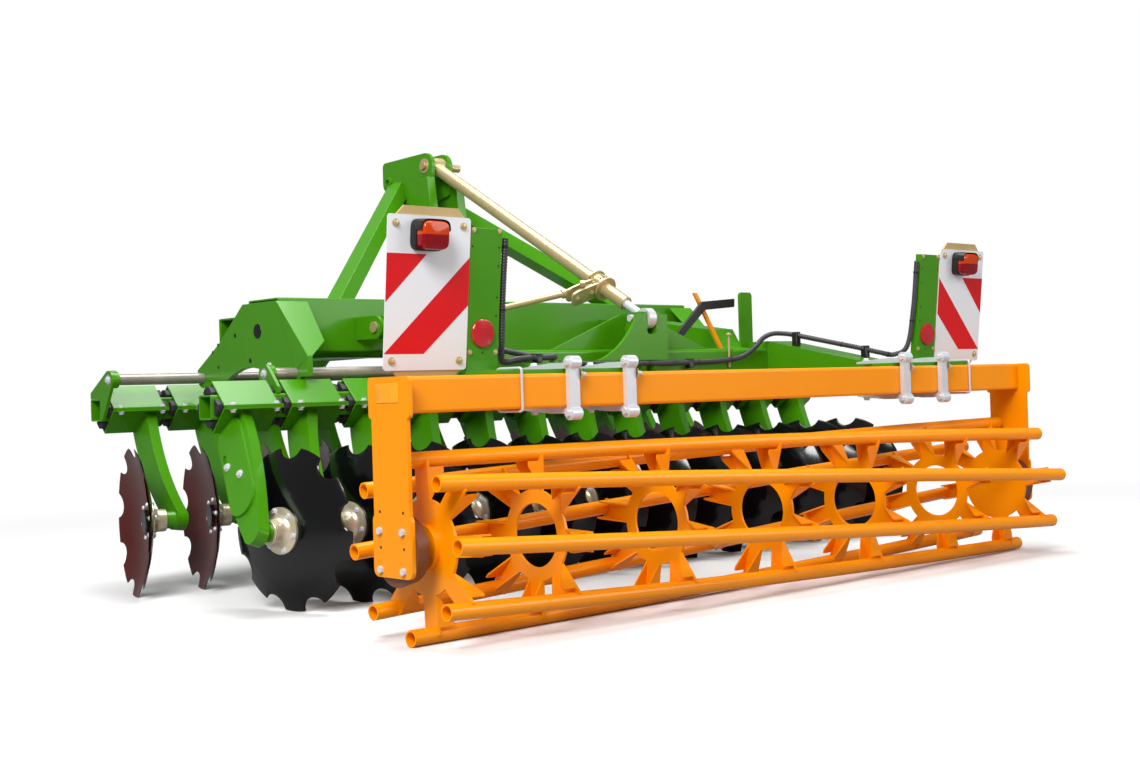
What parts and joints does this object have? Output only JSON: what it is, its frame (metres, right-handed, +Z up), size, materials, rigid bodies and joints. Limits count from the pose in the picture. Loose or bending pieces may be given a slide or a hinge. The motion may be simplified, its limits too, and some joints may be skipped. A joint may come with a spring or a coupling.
{
  "type": "disc harrow",
  "caption": "Compact tractor-mounted disc harrow with two rows of notched discs in rubber-sprung arms, a tube roller and warning boards.",
  "frame": {"origin": "on the floor, under the middle of the whole machine's box", "axes": "+X to the machine's right, +Y forwards to the tractor, +Z up"},
  "size_m": [3.116, 2.498, 1.644],
  "materials": {
    "green_paint": "gloss",
    "orange_paint": "gloss",
    "black_disc": "gloss",
    "rubber": "matt",
    "bare_rod": "polished",
    "zinc_yellow": "satin",
    "zinc_silver": "satin",
    "white_board": "reflective",
    "beige_plate": "satin",
    "lamp_shell": "moulded",
    "conduit": "corrugated",
    "brown_cast": "satin"
  },
  "bodies": {
    "main_frame": {"frame_plates": "green_paint", "frame_cross_beams": "green_paint", "tower_head": "green_paint", "tower_legs": "green_paint", "hitch_cheeks": "green_paint", "pivot_lugs": "green_paint", "frame_pins": "zinc_yellow"},
    "front_row": {"front_beam": "green_paint", "front_carrier_caps": "green_paint", "front_carrier_arms": "green_paint", "front_rubber_cords": "rubber", "front_slide_rod": "bare_rod", "front_rod_brackets": "green_paint"},
    "rear_row": {"rear_beam": "green_paint", "rear_carrier_caps": "green_paint", "rear_carrier_arms": "green_paint", "rear_rubber_cords": "rubber", "rear_slide_rod": "bare_rod", "rear_rod_brackets": "green_paint", "edge_arm": "green_paint"},
    "roller_frame": {"link_frame": "green_paint", "spindle_bracket": "green_paint", "spindle_foot_pin": "zinc_silver", "roller_beam": "orange_paint", "side_arms": "orange_paint", "roller_bearings": "brown_cast", "beam_clamps": "zinc_silver", "warning_boards": "white_board", "board_backings": "beige_plate", "board_posts": "green_paint", "board_lamps": "lamp_shell", "wiring_conduit": "conduit", "depth_levers": "orange_paint"},
    "roller": {"roller_cage": "orange_paint"},
    "spindle_barrel": {"spindle_barrel": "zinc_yellow"},
    "spindle_rod": {"spindle_rod": "zinc_silver"},
    "disc_front_01": {"disc_front_01": "black_disc"},
    "disc_front_02": {"disc_front_02": "black_disc"},
    "disc_front_03": {"disc_front_03": "black_disc"},
    "disc_front_04": {"disc_front_04": "black_disc"},
    "disc_front_05": {"disc_front_05": "black_disc"},
    "disc_front_06": {"disc_front_06": "black_disc"},
    "disc_front_07": {"disc_front_07": "black_disc"},
    "disc_front_08": {"disc_front_08": "black_disc"},
    "disc_front_09": {"disc_front_09": "black_disc"},
    "disc_front_10": {"disc_front_10": "black_disc"},
    "disc_front_11": {"disc_front_11": "black_disc"},
    "disc_front_12": {"disc_front_12": "black_disc"},
    "disc_rear_01": {"disc_rear_01": "black_disc"},
    "disc_rear_02": {"disc_rear_02": "black_disc"},
    "disc_rear_03": {"disc_rear_03": "black_disc"},
    "disc_rear_04": {"disc_rear_04": "black_disc"},
    "disc_rear_05": {"disc_rear_05": "black_disc"},
    "disc_rear_06": {"disc_rear_06": "black_disc"},
    "disc_rear_07": {"disc_rear_07": "black_disc"},
    "disc_rear_08": {"disc_rear_08": "black_disc"},
    "disc_rear_09": {"disc_rear_09": "black_disc"},
    "disc_rear_10": {"disc_rear_10": "black_disc"},
    "disc_rear_11": {"disc_rear_11": "black_disc"},
    "disc_rear_12": {"disc_rear_12": "black_disc"}
  },
  "joints": [
    {"name": "front_row_shift", "type": "slide", "parent": "main_frame", "child": "front_row", "axis": [1, 0, 0], "range_m": [-0.025, 0.025]},
    {"name": "rear_row_shift", "type": "slide", "parent": "main_frame", "child": "rear_row", "axis": [1, 0, 0], "range_m": [-0.025, 0.025]},
    {"name": "roller_lift", "type": "hinge", "parent": "main_frame", "child": "roller_frame", "pos_m": [-0.054, 0.221, 0.905], "axis": [1, 0, 0], "range_deg": [-4, 4]},
    {"name": "roller_spin", "type": "hinge", "parent": "roller_frame", "child": "roller", "pos_m": [-0.094, -0.994, 0.255], "axis": [1, 0, 0], "continuous": true},
    {"name": "spindle_swing", "type": "hinge", "parent": "main_frame", "child": "spindle_barrel", "pos_m": [-0.054, 0.756, 1.592], "axis": [1, 0, 0], "range_deg": [-1.7, 1.7]},
    {"name": "spindle_stroke", "type": "slide", "parent": "spindle_barrel", "child": "spindle_rod", "axis": [0, -0.8687, -0.4953], "range_m": [-0.0237, 0.0237]},
    {"name": "disc_front_01_spin", "type": "hinge", "parent": "front_row", "child": "disc_front_01", "pos_m": [-1.477, 0.633, 0.255], "axis": [0.9659, -0.2588, 0], "continuous": true},
    {"name": "disc_front_02_spin", "type": "hinge", "parent": "front_row", "child": "disc_front_02", "pos_m": [-1.227, 0.633, 0.255], "axis": [0.9659, -0.2588, 0], "continuous": true},
    {"name": "disc_front_03_spin", "type": "hinge", "parent": "front_row", "child": "disc_front_03", "pos_m": [-0.977, 0.633, 0.255], "axis": [0.9659, -0.2588, 0], "continuous": true},
    {"name": "disc_front_04_spin", "type": "hinge", "parent": "front_row", "child": "disc_front_04", "pos_m": [-0.727, 0.633, 0.255], "axis": [0.9659, -0.2588, 0], "continuous": true},
    {"name": "disc_front_05_spin", "type": "hinge", "parent": "front_row", "child": "disc_front_05", "pos_m": [-0.477, 0.633, 0.255], "axis": [0.9659, -0.2588, 0], "continuous": true},
    {"name": "disc_front_06_spin", "type": "hinge", "parent": "front_row", "child": "disc_front_06", "pos_m": [-0.227, 0.633, 0.255], "axis": [0.9659, -0.2588, 0], "continuous": true},
    {"name": "disc_front_07_spin", "type": "hinge", "parent": "front_row", "child": "disc_front_07", "pos_m": [0.023, 0.633, 0.255], "axis": [0.9659, -0.2588, 0], "continuous": true},
    {"name": "disc_front_08_spin", "type": "hinge", "parent": "front_row", "child": "disc_front_08", "pos_m": [0.273, 0.633, 0.255], "axis": [0.9659, -0.2588, 0], "continuous": true},
    {"name": "disc_front_09_spin", "type": "hinge", "parent": "front_row", "child": "disc_front_09", "pos_m": [0.523, 0.633, 0.255], "axis": [0.9659, -0.2588, 0], "continuous": true},
    {"name": "disc_front_10_spin", "type": "hinge", "parent": "front_row", "child": "disc_front_10", "pos_m": [0.773, 0.633, 0.255], "axis": [0.9659, -0.2588, 0], "continuous": true},
    {"name": "disc_front_11_spin", "type": "hinge", "parent": "front_row", "child": "disc_front_11", "pos_m": [1.023, 0.633, 0.255], "axis": [0.9659, -0.2588, 0], "continuous": true},
    {"name": "disc_front_12_spin", "type": "hinge", "parent": "front_row", "child": "disc_front_12", "pos_m": [1.273, 0.633, 0.255], "axis": [0.9659, -0.2588, 0], "continuous": true},
    {"name": "disc_rear_01_spin", "type": "hinge", "parent": "rear_row", "child": "disc_rear_01", "pos_m": [-1.333, -0.157, 0.255], "axis": [-0.9781, -0.2079, 0], "continuous": true},
    {"name": "disc_rear_02_spin", "type": "hinge", "parent": "rear_row", "child": "disc_rear_02", "pos_m": [-1.083, -0.157, 0.255], "axis": [-0.9781, -0.2079, 0], "continuous": true},
    {"name": "disc_rear_03_spin", "type": "hinge", "parent": "rear_row", "child": "disc_rear_03", "pos_m": [-0.833, -0.157, 0.255], "axis": [-0.9781, -0.2079, 0], "continuous": true},
    {"name": "disc_rear_04_spin", "type": "hinge", "parent": "rear_row", "child": "disc_rear_04", "pos_m": [-0.583, -0.157, 0.255], "axis": [-0.9781, -0.2079, 0], "continuous": true},
    {"name": "disc_rear_05_spin", "type": "hinge", "parent": "rear_row", "child": "disc_rear_05", "pos_m": [-0.333, -0.157, 0.255], "axis": [-0.9781, -0.2079, 0], "continuous": true},
    {"name": "disc_rear_06_spin", "type": "hinge", "parent": "rear_row", "child": "disc_rear_06", "pos_m": [-0.083, -0.157, 0.255], "axis": [-0.9781, -0.2079, 0], "continuous": true},
    {"name": "disc_rear_07_spin", "type": "hinge", "parent": "rear_row", "child": "disc_rear_07", "pos_m": [0.167, -0.157, 0.255], "axis": [-0.9781, -0.2079, 0], "continuous": true},
    {"name": "disc_rear_08_spin", "type": "hinge", "parent": "rear_row", "child": "disc_rear_08", "pos_m": [0.417, -0.157, 0.255], "axis": [-0.9781, -0.2079, 0], "continuous": true},
    {"name": "disc_rear_09_spin", "type": "hinge", "parent": "rear_row", "child": "disc_rear_09", "pos_m": [0.667, -0.157, 0.255], "axis": [-0.9781, -0.2079, 0], "continuous": true},
    {"name": "disc_rear_10_spin", "type": "hinge", "parent": "rear_row", "child": "disc_rear_10", "pos_m": [0.917, -0.157, 0.255], "axis": [-0.9781, -0.2079, 0], "continuous": true},
    {"name": "disc_rear_11_spin", "type": "hinge", "parent": "rear_row", "child": "disc_rear_11", "pos_m": [1.167, -0.157, 0.255], "axis": [-0.9781, -0.2079, 0], "continuous": true},
    {"name": "disc_rear_12_spin", "type": "hinge", "parent": "rear_row", "child": "disc_rear_12", "pos_m": [1.417, -0.157, 0.255], "axis": [-0.9781, -0.2079, 0], "continuous": true}
  ],
  "couplings": [
    {"joint": "spindle_swing", "follows": "roller_lift", "ratio": 0.41962},
    {"joint": "spindle_stroke", "follows": "roller_lift", "m_per_rad": 0.33184}
  ]
}
